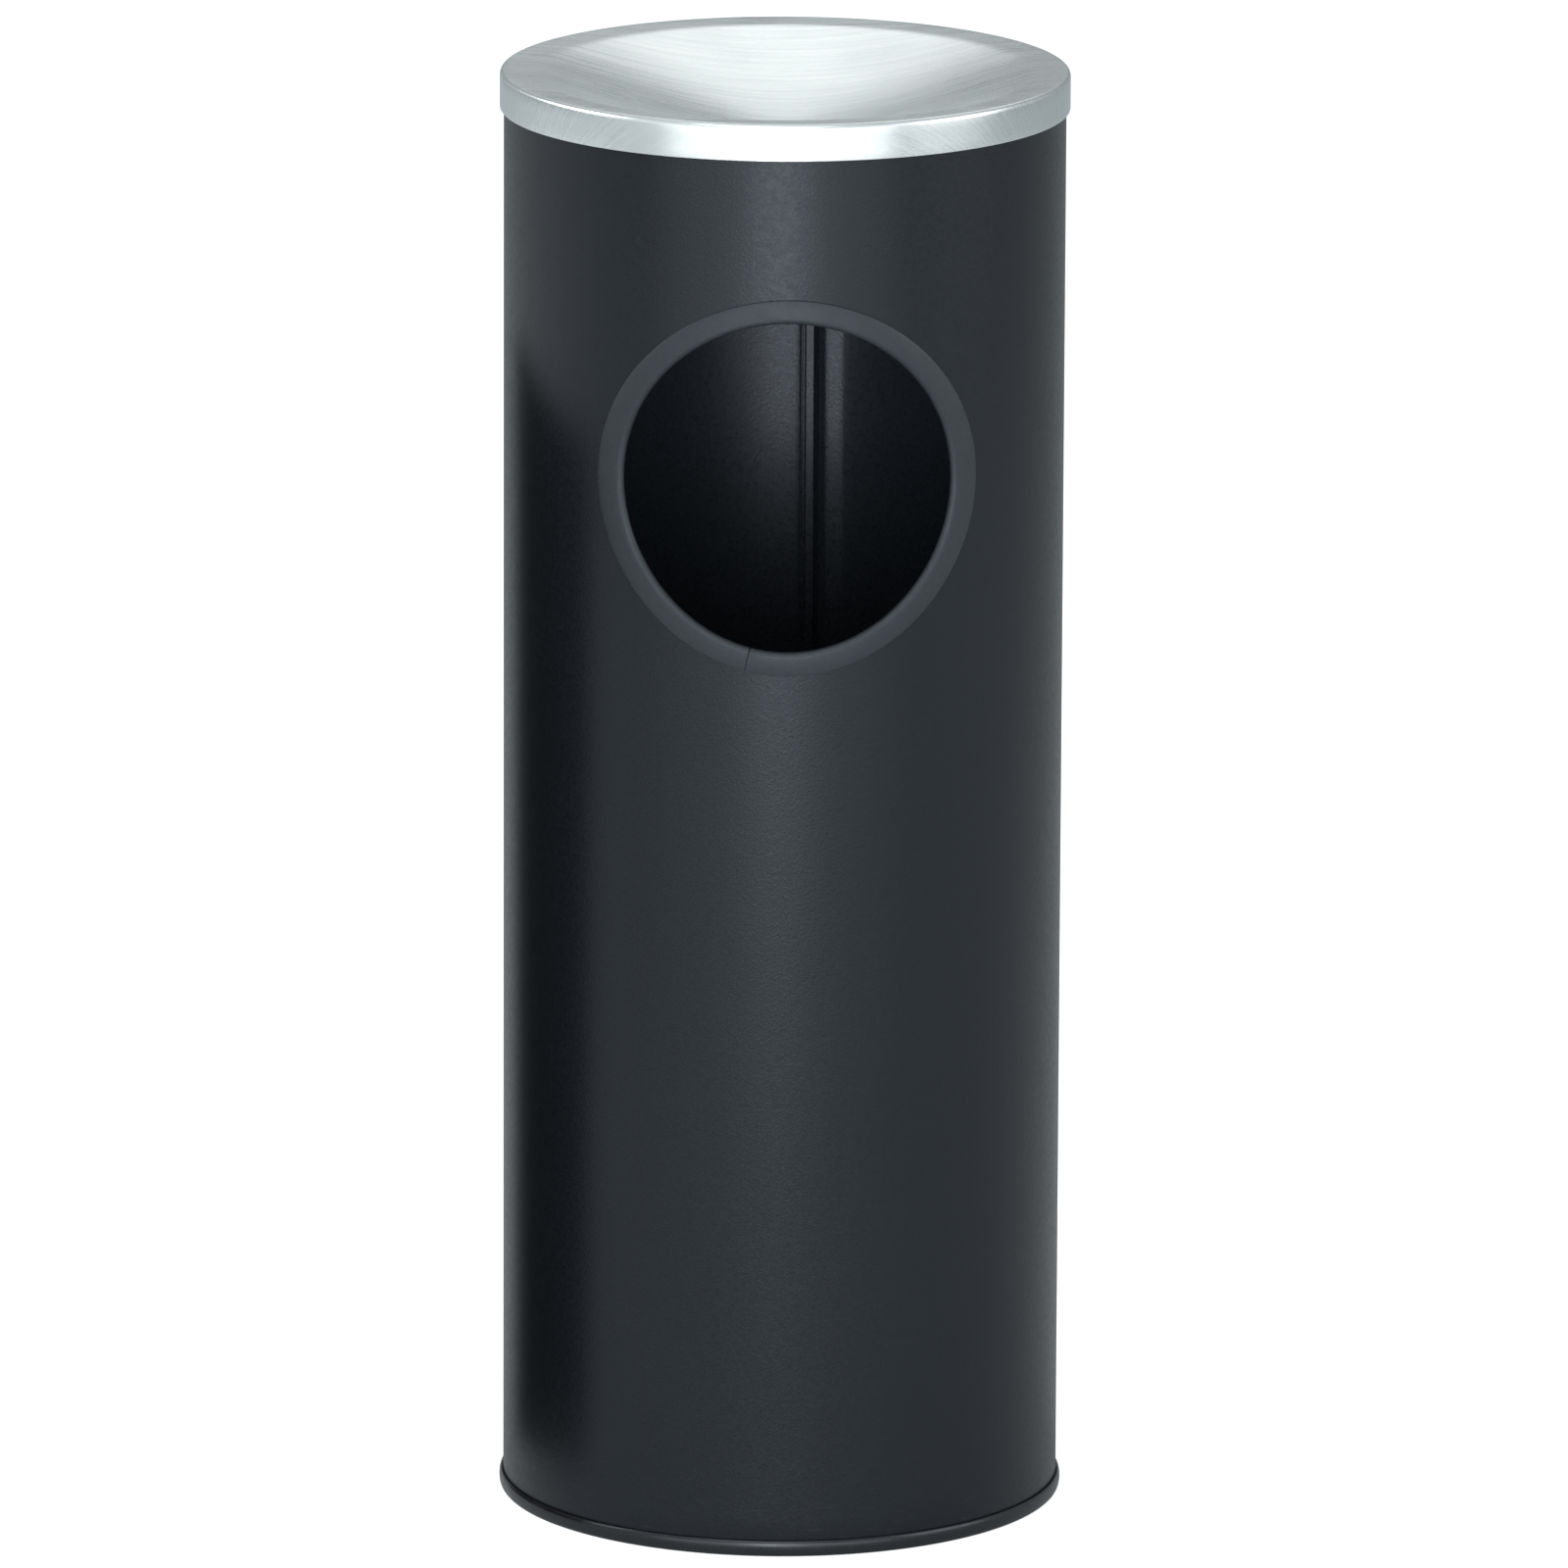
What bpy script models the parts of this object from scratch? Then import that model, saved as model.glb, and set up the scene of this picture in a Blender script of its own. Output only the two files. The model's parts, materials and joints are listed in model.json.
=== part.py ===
"""Round free-standing ashtray bin: rolled steel body with a round waste opening, a lift-off
aluminium ash dish and a lift-out galvanised liner with a wire bail.

Metres, +Z up. The origin is the centre of the footprint, on the floor. The waste opening
faces -Y and the body's lock seam is at the back, +Y.
"""
import math

import bmesh
import bpy
from mathutils import Matrix, Vector

# ---------------------------------------------------------------- driving dimensions
BODY_RADIUS = 0.125
TOTAL_HEIGHT = 0.650
SHEET = 0.001
GAP = 0.0003

DISH_RADIUS = 0.1268
DISH_SKIRT = 0.0165
DISH_SHOULDER = 0.0022
DISH_RIM_WIDTH = 0.0165
DISH_RIM_DROP = 0.001
DISH_DEPTH = 0.028
DISH_CURVE = 1.35

BODY_CURL = 0.0022

APERTURE_HALF_WIDTH = 0.0724
APERTURE_HALF_HEIGHT = 0.0738
APERTURE_HEIGHT = 0.4869
APERTURE_CLEARANCE = 0.0020
TRIM_FACE = 0.0104
TRIM_LIP = 0.0015
TRIM_CROWN = 0.0009
TRIM_BACK_REACH = 0.0080
TRIM_JOINT_ANGLE = math.radians(13.0)
TRIM_JOINT_GAP = 0.0004

SEAM_ANGLE = math.radians(6.3)
SEAM_WIDTH = 0.005
SEAM_HEIGHT = 0.0022

BASE_RADIUS = 0.1268
BASE_HEIGHT = 0.007
BASE_FLOOR = 0.0022
BASE_LIP = 0.0018
BASE_BULGE = 0.0009
BASE_INNER_HEIGHT = 0.006

PAN_TOP = 0.014
PAN_FLANGE = 0.0065
PAN_WELL_RADIUS = 0.088
PAN_WELL_DEPTH = 0.002

LINER_SHEET = 0.0008
LINER_FOOT_RADIUS = 0.1020
LINER_TOP_RADIUS = 0.1075
LINER_HEIGHT = 0.314
LINER_CURL = 0.0025
LINER_WIRE = 0.0013
LINER_FLOOR = 0.0085

PIVOT_DROP = 0.0140
EAR_WIDTH = 0.031
EAR_HEIGHT = 0.016
EAR_THICKNESS = 0.0012
EAR_STANDOFF = 0.0045
EAR_BRIDGE = 0.0065
RIVET_SPREAD = 0.0116
RIVET_SHANK = 0.0016
RIVET_HEAD = 0.0030

BAIL_WIRE = 0.002
BAIL_RADIUS = 0.1168
BAIL_BEND = 0.003
BAIL_HEAD = 0.003
BAIL_HANG = math.radians(21.0)

BODY_STEPS = 72
LINER_STEPS = 48
TRIM_STEPS = 56
RIVET_STEPS = 12

# ---------------------------------------------------------------- derived heights
DISH_UNDER_RIM = TOTAL_HEIGHT - SHEET
BODY_BOTTOM = BASE_FLOOR + GAP
BODY_TOP = DISH_UNDER_RIM - GAP - 0.0004
LINER_BOTTOM = PAN_TOP + GAP
LINER_CURL_HEIGHT = LINER_BOTTOM + LINER_HEIGHT - LINER_CURL
PIVOT_HEIGHT = LINER_BOTTOM + LINER_HEIGHT - PIVOT_DROP


def clear_scene():
    for obj in list(bpy.data.objects):
        bpy.data.objects.remove(obj, do_unlink=True)


def new_collection(name):
    collection = bpy.data.collections.new(name)
    bpy.context.scene.collection.children.link(collection)
    return collection


def new_material(name, colour, roughness, metallic):
    material = bpy.data.materials.new(name)
    material.use_nodes = True
    shader = material.node_tree.nodes["Principled BSDF"]
    shader.inputs["Base Color"].default_value = (*colour, 1.0)
    shader.inputs["Roughness"].default_value = roughness
    shader.inputs["Metallic"].default_value = metallic
    material.diffuse_color = (*colour, 1.0)
    return material


def add_object(name, data, collection, material=None):
    obj = bpy.data.objects.new(name, data)
    collection.objects.link(obj)
    if material is not None:
        data.materials.append(material)
    return obj


def add_cutter(obj):
    """Move a fresh primitive to the cutters, shown as a wire and left out of renders."""
    for collection in list(obj.users_collection):
        collection.objects.unlink(obj)
    CUTTERS.objects.link(obj)
    obj.hide_render = True
    obj.display_type = "WIRE"
    return obj


def cut(obj, cutter, operation="DIFFERENCE"):
    boolean = obj.modifiers.new(cutter.name, "BOOLEAN")
    boolean.operation = operation
    boolean.solver = "EXACT"
    boolean.object = cutter


def arc(centre, radius, start, end, count):
    """Points of an arc in the (r, z) plane, from start to end in degrees, both included."""
    points = []
    for i in range(count + 1):
        angle = math.radians(start + (end - start) * i / count)
        points.append((centre[0] + radius * math.cos(angle), centre[1] + radius * math.sin(angle)))
    return points


def turned(name, profile, material, steps, collection, closed=True):
    """A profile of (r, z) points turned about Z. It runs down its outer side."""
    mesh = bpy.data.meshes.new(name)
    bm = bmesh.new()
    verts = [bm.verts.new((r, 0.0, z)) for r, z in profile]
    for start, end in zip(verts, verts[1:]):
        bm.edges.new((start, end))
    if closed:
        bm.edges.new((verts[-1], verts[0]))
    bm.to_mesh(mesh)
    bm.free()
    obj = add_object(name, mesh, collection, material)
    screw = obj.modifiers.new("Turn", "SCREW")
    screw.axis = "Z"
    screw.angle = 2.0 * math.pi
    screw.steps = steps
    screw.render_steps = steps
    screw.use_merge_vertices = True
    screw.merge_threshold = 0.00001
    screw.use_smooth_shade = True
    return obj


def curve_object(name, points, collection, material, cyclic=False, radii=None):
    curve = bpy.data.curves.new(name, "CURVE")
    spline = curve.splines.new("POLY")
    spline.points.add(len(points) - 1)
    for i, point in enumerate(points):
        spline.points[i].co = (*point, 1.0)
        spline.points[i].radius = 1.0 if radii is None else radii[i]
    spline.use_cyclic_u = cyclic
    return add_object(name, curve, collection, material)


def curve_to_mesh(obj):
    """Swap a curve for its evaluated mesh, with the loose caps welded on."""
    depsgraph = bpy.context.evaluated_depsgraph_get()
    mesh = bpy.data.meshes.new_from_object(obj.evaluated_get(depsgraph))
    bm = bmesh.new()
    bm.from_mesh(mesh)
    bmesh.ops.remove_doubles(bm, verts=bm.verts, dist=0.000001)
    bm.to_mesh(mesh)
    bm.free()
    name = obj.name
    matrix = obj.matrix_world.copy()
    collection = obj.users_collection[0]
    bpy.data.objects.remove(obj, do_unlink=True)
    mesh.name = name
    solid = bpy.data.objects.new(name, mesh)
    collection.objects.link(solid)
    solid.matrix_world = matrix
    return solid


def cylinder_cutter(name, radius, depth, matrix, vertices):
    bpy.ops.mesh.primitive_cylinder_add(vertices=vertices, radius=radius, depth=depth)
    cutter = add_cutter(bpy.context.object)
    cutter.name = name
    cutter.matrix_world = matrix
    return cutter


# ---------------------------------------------------------------- body
def aperture_cutter():
    """Straight oval cut through the front wall, along Y."""
    half_width = APERTURE_HALF_WIDTH + APERTURE_CLEARANCE
    half_height = APERTURE_HALF_HEIGHT + APERTURE_CLEARANCE
    place = Matrix.Translation((0.0, -BODY_RADIUS, APERTURE_HEIGHT))
    turn = Matrix.Rotation(math.radians(90.0), 4, "X")
    oval = Matrix.Diagonal((half_width, half_height, 1.0, 1.0))
    return cylinder_cutter("aperture_cutter", 1.0, BODY_RADIUS, place @ turn @ oval, 72)


def seam_strip():
    """The folded layers of the lock seam, inside the back wall."""
    low = PAN_TOP + 0.002
    high = BODY_TOP - 2.0 * BODY_CURL - 0.002
    overlap = 0.5 * SHEET
    inner_radius = BODY_RADIUS - SHEET
    radius = inner_radius + overlap - (SEAM_HEIGHT + overlap) / 2.0
    bpy.ops.mesh.primitive_cube_add(size=1.0)
    strip = add_cutter(bpy.context.object)
    strip.name = "seam_strip"
    strip.matrix_world = (
        Matrix.Rotation(-SEAM_ANGLE, 4, "Z")
        @ Matrix.Translation((0.0, radius, (low + high) / 2.0))
        @ Matrix.Diagonal((SEAM_WIDTH, SEAM_HEIGHT + overlap, high - low, 1.0))
    )
    return strip


def body_shell():
    """Rolled sheet, top edge curled inwards, locked along one seam, waste opening in front."""
    centre = (BODY_RADIUS - BODY_CURL, BODY_TOP - BODY_CURL)
    inner_radius = BODY_RADIUS - SHEET
    profile = [(BODY_RADIUS, BODY_BOTTOM), (inner_radius, BODY_BOTTOM)]
    profile += arc(centre, BODY_CURL - SHEET, 0.0, 270.0, 6)
    profile += arc(centre, BODY_CURL, 270.0, 0.0, 9)
    shell = turned("body_shell", profile, CHARCOAL_PAINT, BODY_STEPS, PARTS)
    cut(shell, seam_strip(), "UNION")
    cut(shell, aperture_cutter())


def bottom_pan():
    """Pressed bottom with a shallow well and a flange turned down inside the shell."""
    edge = BODY_RADIUS - SHEET - GAP
    bend = 0.002
    well = PAN_TOP - PAN_WELL_DEPTH
    slope = 1.5 * PAN_WELL_DEPTH
    profile = [(0.0, well), (PAN_WELL_RADIUS, well), (PAN_WELL_RADIUS + slope, PAN_TOP)]
    profile += arc((edge - bend, PAN_TOP - bend), bend, 90.0, 0.0, 3)
    profile += [(edge, PAN_TOP - PAN_FLANGE), (edge - SHEET, PAN_TOP - PAN_FLANGE)]
    profile += arc((edge - bend, PAN_TOP - bend), bend - SHEET, 0.0, 90.0, 2)
    profile += [(PAN_WELL_RADIUS + slope + 0.0003, PAN_TOP - SHEET)]
    profile += [(PAN_WELL_RADIUS + 0.0003, well - SHEET), (0.0, well - SHEET)]
    turned("bottom_pan", profile, CHARCOAL_PAINT, LINER_STEPS, PARTS, closed=False)


def base_ring():
    """Soft ring pushed over the shell's lower edge: a rounded outer lip, a floor, an inner lip."""
    outer = BODY_RADIUS + GAP
    inner = BODY_RADIUS - SHEET - GAP
    bulge = BASE_BULGE
    profile = [(outer, BASE_HEIGHT)]
    profile += arc((BASE_RADIUS - bulge, BASE_HEIGHT - bulge), bulge, 90.0, 0.0, 2)
    profile += arc((BASE_RADIUS - bulge, bulge), bulge, 0.0, -90.0, 2)
    profile += [(inner - BASE_LIP, 0.0), (inner - BASE_LIP, BASE_INNER_HEIGHT), (inner, BASE_INNER_HEIGHT)]
    profile += [(inner, BASE_FLOOR), (outer, BASE_FLOOR)]
    turned("base_ring", profile, BLACK_VINYL, BODY_STEPS, PARTS)


def wrap_on_body(x, out, z):
    """A point of the flat opening's plane, laid on the body: out is how far it stands off."""
    angle = math.asin(x / BODY_RADIUS)
    radius = BODY_RADIUS + out
    return Vector((radius * math.sin(angle), -radius * math.cos(angle), z + APERTURE_HEIGHT))


def aperture_trim():
    """U-section edging around the opening, one strip whose two ends meet in a butt joint.

    The section's outer face is crowned: it falls away from its inner roll to its outer edge.
    """
    edge = APERTURE_HALF_WIDTH
    half = (SHEET + 2.0 * (GAP + TRIM_LIP)) / 2.0
    middle = -SHEET / 2.0
    web = edge + TRIM_LIP
    face = edge + TRIM_FACE
    back = edge + TRIM_BACK_REACH
    front = middle + half
    outline = arc((edge + half, middle), half, 90.0, 270.0, 6)
    outline += [(back, middle - half), (back, middle - half + TRIM_LIP)]
    outline += [(web, middle - half + TRIM_LIP), (web, front - TRIM_LIP)]
    outline += [(face, front - TRIM_LIP), (face, front - TRIM_CROWN)]
    outline += [((edge + half + face) / 2.0, front - 0.3 * TRIM_CROWN)]
    joint = TRIM_JOINT_GAP / edge
    start = math.radians(-90.0) - TRIM_JOINT_ANGLE + joint / 2.0
    mesh = bpy.data.meshes.new("aperture_trim")
    bm = bmesh.new()
    verts = [bm.verts.new((r * math.cos(start), -out, r * math.sin(start))) for r, out in outline]
    section = bm.faces.new(verts)
    bmesh.ops.spin(
        bm,
        geom=[section] + list(section.edges) + verts,
        cent=(0.0, 0.0, 0.0),
        axis=(0.0, -1.0, 0.0),
        angle=2.0 * math.pi - joint,
        steps=TRIM_STEPS,
    )
    stretch = APERTURE_HALF_HEIGHT / APERTURE_HALF_WIDTH
    for vert in bm.verts:
        vert.co = wrap_on_body(vert.co.x, -vert.co.y, vert.co.z * stretch)
    bmesh.ops.recalc_face_normals(bm, faces=bm.faces)
    bm.to_mesh(mesh)
    bm.free()
    add_object("aperture_trim", mesh, PARTS, BLACK_VINYL)
    mesh.shade_smooth()
    mesh.set_sharp_from_angle(angle=math.radians(35.0))


# ---------------------------------------------------------------- ash dish
def bowl_height(radius, lip_radius, lip_height):
    return lip_height - DISH_DEPTH * (1.0 - (radius / lip_radius) ** DISH_CURVE)


def ash_dish():
    """Pressed sheet: shallow bowl, flat rim, rounded shoulder and a skirt over the body."""
    lip_radius = DISH_RADIUS - DISH_RIM_WIDTH
    lip_height = TOTAL_HEIGHT - DISH_RIM_DROP
    shoulder = (DISH_RADIUS - DISH_SHOULDER, TOTAL_HEIGHT - DISH_SHOULDER)
    skirt_end = TOTAL_HEIGHT - DISH_SKIRT
    rings = 5
    radii = [lip_radius * i / rings for i in range(rings)]
    profile = [(radius, bowl_height(radius, lip_radius, lip_height)) for radius in radii]
    profile += [(lip_radius, lip_height)]
    profile += arc(shoulder, DISH_SHOULDER, 90.0, 0.0, 3)
    profile += [(DISH_RADIUS, skirt_end), (DISH_RADIUS - SHEET, skirt_end)]
    profile += arc(shoulder, DISH_SHOULDER - SHEET, 0.0, 90.0, 2)
    profile += [(lip_radius + 0.0001, lip_height - SHEET)]
    profile += [(radius, bowl_height(radius, lip_radius, lip_height) - SHEET) for radius in reversed(radii)]
    turned("ash_dish", profile, SATIN_ALUMINIUM, BODY_STEPS, PARTS, closed=False)


# ---------------------------------------------------------------- liner
def liner_wall_radius(height):
    """Outer radius of the tapered liner wall at a world height."""
    share = (height - LINER_BOTTOM) / (LINER_CURL_HEIGHT - LINER_BOTTOM)
    return LINER_FOOT_RADIUS + (LINER_TOP_RADIUS - LINER_FOOT_RADIUS) * share


def liner_curl_centre():
    return (LINER_TOP_RADIUS - LINER_SHEET + LINER_CURL, LINER_CURL_HEIGHT)


def liner_shell():
    """Tapered wall with its top edge rolled outwards around a wire, drilled for the ears."""
    centre = liner_curl_centre()
    profile = arc(centre, LINER_CURL, 180.0, -90.0, 6)
    profile += arc(centre, LINER_CURL - LINER_SHEET, -90.0, 180.0, 6)
    profile += [(LINER_FOOT_RADIUS, LINER_BOTTOM), (LINER_FOOT_RADIUS - LINER_SHEET, LINER_BOTTOM)]
    shell = turned("liner_shell", profile, GALVANISED, LINER_STEPS, PARTS)
    for cutter in rivet_hole_cutters("liner"):
        cut(shell, cutter)


def liner_bottom():
    """Pressed floor with its flange turned down inside the wall."""
    edge = LINER_FOOT_RADIUS - LINER_SHEET - GAP
    top = LINER_BOTTOM + LINER_FLOOR
    low = LINER_BOTTOM + 0.0015
    bend = 0.0018
    centre = (edge - bend, top - bend)
    profile = [(0.0, top)] + arc(centre, bend, 90.0, 0.0, 3) + [(edge, low), (edge - LINER_SHEET, low)]
    profile += arc(centre, bend - LINER_SHEET, 0.0, 90.0, 2) + [(0.0, top - LINER_SHEET)]
    turned("liner_bottom", profile, GALVANISED, LINER_STEPS, PARTS, closed=False)


def liner_rim_wire():
    """Stiffening wire inside the rolled rim."""
    profile = arc(liner_curl_centre(), LINER_WIRE, 90.0, -270.0, 6)[:-1]
    turned("liner_rim_wire", profile, GALVANISED, LINER_STEPS, PARTS)


def rivet_places():
    """Each rivet's matrix: its local +Z points out of the liner wall."""
    places = []
    radius = liner_wall_radius(PIVOT_HEIGHT)
    for side in (-1.0, 1.0):
        for offset in (-RIVET_SPREAD, RIVET_SPREAD):
            turn = math.asin(offset / radius) + (0.0 if side > 0.0 else math.pi)
            places.append(
                Matrix.Rotation(turn, 4, "Z")
                @ Matrix.Translation((radius, 0.0, PIVOT_HEIGHT))
                @ Matrix.Rotation(math.radians(90.0), 4, "Y")
            )
    return places


def rivet_hole_cutters(name):
    cutters = []
    for number, place in enumerate(rivet_places()):
        hole = f"{name}_rivet_hole_{number + 1}"
        cutters.append(cylinder_cutter(hole, RIVET_SHANK + GAP, 0.012, place, RIVET_STEPS))
    return cutters


def liner_rivets():
    """Four rivets: domed head over the ear's flange, shank, and a flat head inside the liner."""
    seat = GAP + EAR_THICKNESS + GAP + 0.0004
    inside = -LINER_SHEET - GAP - 0.0002
    dome_height = 0.0015
    profile = [(r * RIVET_HEAD, seat + z * dome_height) for r, z in arc((0.0, 0.0), 1.0, 90.0, 0.0, 3)]
    profile += [(RIVET_SHANK, seat), (RIVET_SHANK, inside), (RIVET_HEAD, inside)]
    profile += [(RIVET_HEAD - 0.0004, inside - 0.0010), (0.0, inside - 0.0010)]
    for number, place in enumerate(rivet_places()):
        name = f"liner_rivet_{number + 1}"
        rivet = turned(name, profile, GALVANISED, RIVET_STEPS, PARTS, closed=False)
        rivet.matrix_world = place


def ear_outline():
    """Plan of one ear at +X: two flanges that hug the wall and a bridge that stands off it."""
    wall = liner_wall_radius(PIVOT_HEIGHT + EAR_HEIGHT / 2.0) + GAP
    bridge = wall + EAR_STANDOFF
    foot = EAR_BRIDGE + 0.0015

    def flange(radius, start, end):
        angles = [math.asin(y / radius) for y in (start, (start + end) / 2.0, end)]
        return [(radius * math.cos(a), radius * math.sin(a)) for a in angles]

    outer = wall + EAR_THICKNESS
    points = flange(outer, -EAR_WIDTH / 2.0, -foot)
    front = bridge + EAR_THICKNESS
    points += [(front, -EAR_BRIDGE + 0.0004), (front, EAR_BRIDGE - 0.0004)]
    points += flange(outer, foot, EAR_WIDTH / 2.0)
    points += flange(wall, EAR_WIDTH / 2.0, foot - EAR_THICKNESS)
    inner_half = EAR_BRIDGE - EAR_THICKNESS - 0.0004
    points += [(bridge, inner_half), (bridge, -inner_half)]
    points += flange(wall, -foot + EAR_THICKNESS, -EAR_WIDTH / 2.0)
    return points


def liner_ear(name, turn, hole_cutters):
    """Pressed ear, with a bridge that carries the bail's end and two riveted flanges."""
    outline = [(x, y, 0.0) for x, y in ear_outline()]
    flat = curve_object(name, outline, PARTS, None, cyclic=True)
    flat.data.dimensions = "2D"
    flat.data.fill_mode = "BOTH"
    flat.data.extrude = EAR_HEIGHT / 2.0
    ear = curve_to_mesh(flat)
    ear.data.materials.append(GALVANISED)
    ear.matrix_world = Matrix.Translation((0.0, 0.0, PIVOT_HEIGHT)) @ Matrix.Rotation(turn, 4, "Z")
    for cutter in hole_cutters:
        cut(ear, cutter)
    beside = Matrix.Translation((math.cos(turn) * LINER_TOP_RADIUS, 0.0, PIVOT_HEIGHT))
    across = beside @ Matrix.Rotation(math.pi / 2.0, 4, "Y")
    cut(ear, cylinder_cutter(f"{name}_pivot_hole", BAIL_WIRE + GAP, 0.02, across, 16))


def liner_bail():
    """Wire bail whose ends turn in through the ears and are upset into heads behind them."""
    wall = liner_wall_radius(PIVOT_HEIGHT + EAR_HEIGHT / 2.0) + GAP
    bridge = wall + EAR_STANDOFF
    swell = BAIL_HEAD / BAIL_WIRE
    shoulder = bridge - 0.0008
    ends = [(bridge - 0.0030, 0.0), (shoulder - 0.0002, 0.0), (shoulder, 0.0)]
    half = ends + arc((BAIL_RADIUS - BAIL_BEND, BAIL_BEND), BAIL_BEND, -90.0, 0.0, 4)
    radii = [swell, swell] + [1.0] * (len(half) - 2)
    sweep = math.asin(BAIL_BEND / BAIL_RADIUS)
    steps = 36
    bow = []
    for i in range(1, steps):
        angle = sweep + (math.pi - 2.0 * sweep) * i / steps
        bow.append((BAIL_RADIUS * math.cos(angle), BAIL_RADIUS * math.sin(angle)))
    points = half + bow + [(-x, y) for x, y in reversed(half)]
    radii = radii + [1.0] * len(bow) + list(reversed(radii))
    wire = curve_object("liner_bail", [(x, y, 0.0) for x, y in points], PARTS, None, radii=radii)
    wire.data.dimensions = "3D"
    wire.data.bevel_depth = BAIL_WIRE
    wire.data.bevel_resolution = 2
    wire.data.use_fill_caps = True
    wire.location = (0.0, 0.0, PIVOT_HEIGHT)
    wire.rotation_euler = (-BAIL_HANG, 0.0, 0.0)
    bpy.context.view_layer.update()
    bail = curve_to_mesh(wire)
    bail.data.materials.append(GALVANISED)
    bail.data.shade_smooth()
    bail.data.set_sharp_from_angle(angle=math.radians(50.0))


clear_scene()
PARTS = new_collection("ashtray_bin")
CUTTERS = new_collection("ashtray_bin_cutters")

CHARCOAL_PAINT = new_material("charcoal_paint", (0.030, 0.035, 0.041), 0.38, 0.0)
SATIN_ALUMINIUM = new_material("satin_aluminium", (0.80, 0.82, 0.82), 0.34, 1.0)
BLACK_VINYL = new_material("black_vinyl", (0.018, 0.019, 0.021), 0.42, 0.0)
GALVANISED = new_material("galvanised_steel", (0.56, 0.58, 0.59), 0.45, 1.0)

body_shell()
bottom_pan()
base_ring()
aperture_trim()
ash_dish()
liner_shell()
liner_bottom()
liner_rim_wire()
EAR_HOLES = rivet_hole_cutters("ear")
liner_ear("liner_ear_left", math.pi, EAR_HOLES[:2])
liner_ear("liner_ear_right", 0.0, EAR_HOLES[2:])
liner_rivets()
liner_bail()
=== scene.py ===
"""Looks of the round ashtray bin: finished surfaces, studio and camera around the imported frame."""
import json
import math

import bmesh
import bpy
from mathutils import Matrix, Vector


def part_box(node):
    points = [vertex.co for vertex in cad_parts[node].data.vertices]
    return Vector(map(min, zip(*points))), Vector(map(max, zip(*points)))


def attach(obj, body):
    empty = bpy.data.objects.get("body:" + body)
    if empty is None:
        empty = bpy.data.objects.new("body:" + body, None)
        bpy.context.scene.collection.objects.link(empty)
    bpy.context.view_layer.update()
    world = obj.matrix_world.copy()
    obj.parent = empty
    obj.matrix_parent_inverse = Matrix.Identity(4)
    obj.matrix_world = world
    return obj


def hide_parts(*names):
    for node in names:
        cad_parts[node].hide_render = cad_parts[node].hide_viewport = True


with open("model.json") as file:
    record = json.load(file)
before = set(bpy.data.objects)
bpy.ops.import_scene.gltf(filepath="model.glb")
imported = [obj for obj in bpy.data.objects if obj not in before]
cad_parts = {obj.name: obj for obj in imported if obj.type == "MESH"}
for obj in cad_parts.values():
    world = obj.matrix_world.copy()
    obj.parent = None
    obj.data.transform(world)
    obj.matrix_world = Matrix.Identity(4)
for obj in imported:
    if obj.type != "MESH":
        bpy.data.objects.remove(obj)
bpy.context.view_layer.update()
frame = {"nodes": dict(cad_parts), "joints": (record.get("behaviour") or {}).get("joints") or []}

# ---------------------------------------------------------------- sizes read from the frame
SHELL_LOW, SHELL_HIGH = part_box("body_shell")
DISH_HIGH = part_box("ash_dish")[1]
RING_LOW, RING_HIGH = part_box("base_ring")
TRIM_LOW, TRIM_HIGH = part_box("aperture_trim")
PAN_LOW, PAN_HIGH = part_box("bottom_pan")
LINER_LOW, LINER_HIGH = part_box("liner_shell")
FLOOR_LOW, FLOOR_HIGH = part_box("liner_bottom")
WIRE_LOW, WIRE_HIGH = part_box("liner_rim_wire")
EAR_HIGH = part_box("liner_ear_right")[1]
BAIL_JOINT = next(joint for joint in frame["joints"] if joint["name"] == "bail_swing")

BODY_RADIUS = SHELL_HIGH.x
TOTAL_HEIGHT = DISH_HIGH.z
DISH_RADIUS = DISH_HIGH.x
RING_RADIUS = RING_HIGH.x
PIVOT_HEIGHT = BAIL_JOINT["pos_m"][2]

# ---------------------------------------------------------------- sheet and section sizes
SHEET = 0.001
GAP = 0.0003
BODY_CURL = 0.0022
SEAM_ANGLE = math.radians(6.3)
SEAM_FADE = 0.012
# The folded seam: arc distance from its centre (mm), and how far the face stands in from the wall (mm).
SEAM_INSIDE = (
    (-4.8, 0.0), (-3.6, 0.30), (-3.3, 0.25), (-3.0, -0.50), (-2.4, -0.50), (-2.1, 1.15), (-1.8, 1.35),
    (2.0, 1.15), (2.3, 0.90), (2.5, -0.85), (4.7, 0.50), (7.4, 0.95), (16.6, 0.0),
)
SEAM_OUTSIDE = ((-3.0, 0.0), (-0.9, 0.06), (-0.45, 0.12), (-0.2, 0.42), (0.2, 0.42), (0.45, 0.05), (2.4, 0.0))

HOLE_CLEARANCE = 0.0020
TRIM_FACE = 0.0104
TRIM_LIP = 0.0015
TRIM_CROWN = 0.0009
TRIM_JOINT_ANGLE = math.radians(13.0)
TRIM_JOINT_GAP = 0.00045
TRIM_END_LIFT = 0.00022
TRIM_END_REACH = 0.0035
TRIM_BACK_INSET = 0.0024
TRIM_EDGE_OUT = GAP + TRIM_LIP - TRIM_CROWN
TRIM_HALF_WIDTH = (TRIM_HIGH.x - TRIM_LOW.x) / 2.0 / (1.0 + TRIM_EDGE_OUT / BODY_RADIUS)
HOLE_HALF_WIDTH = TRIM_HALF_WIDTH - TRIM_FACE
HOLE_STRETCH = (TRIM_HIGH.z - TRIM_LOW.z) / 2.0 / (HOLE_HALF_WIDTH + TRIM_FACE)
HOLE_HEIGHT = (TRIM_HIGH.z + TRIM_LOW.z) / 2.0

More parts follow.
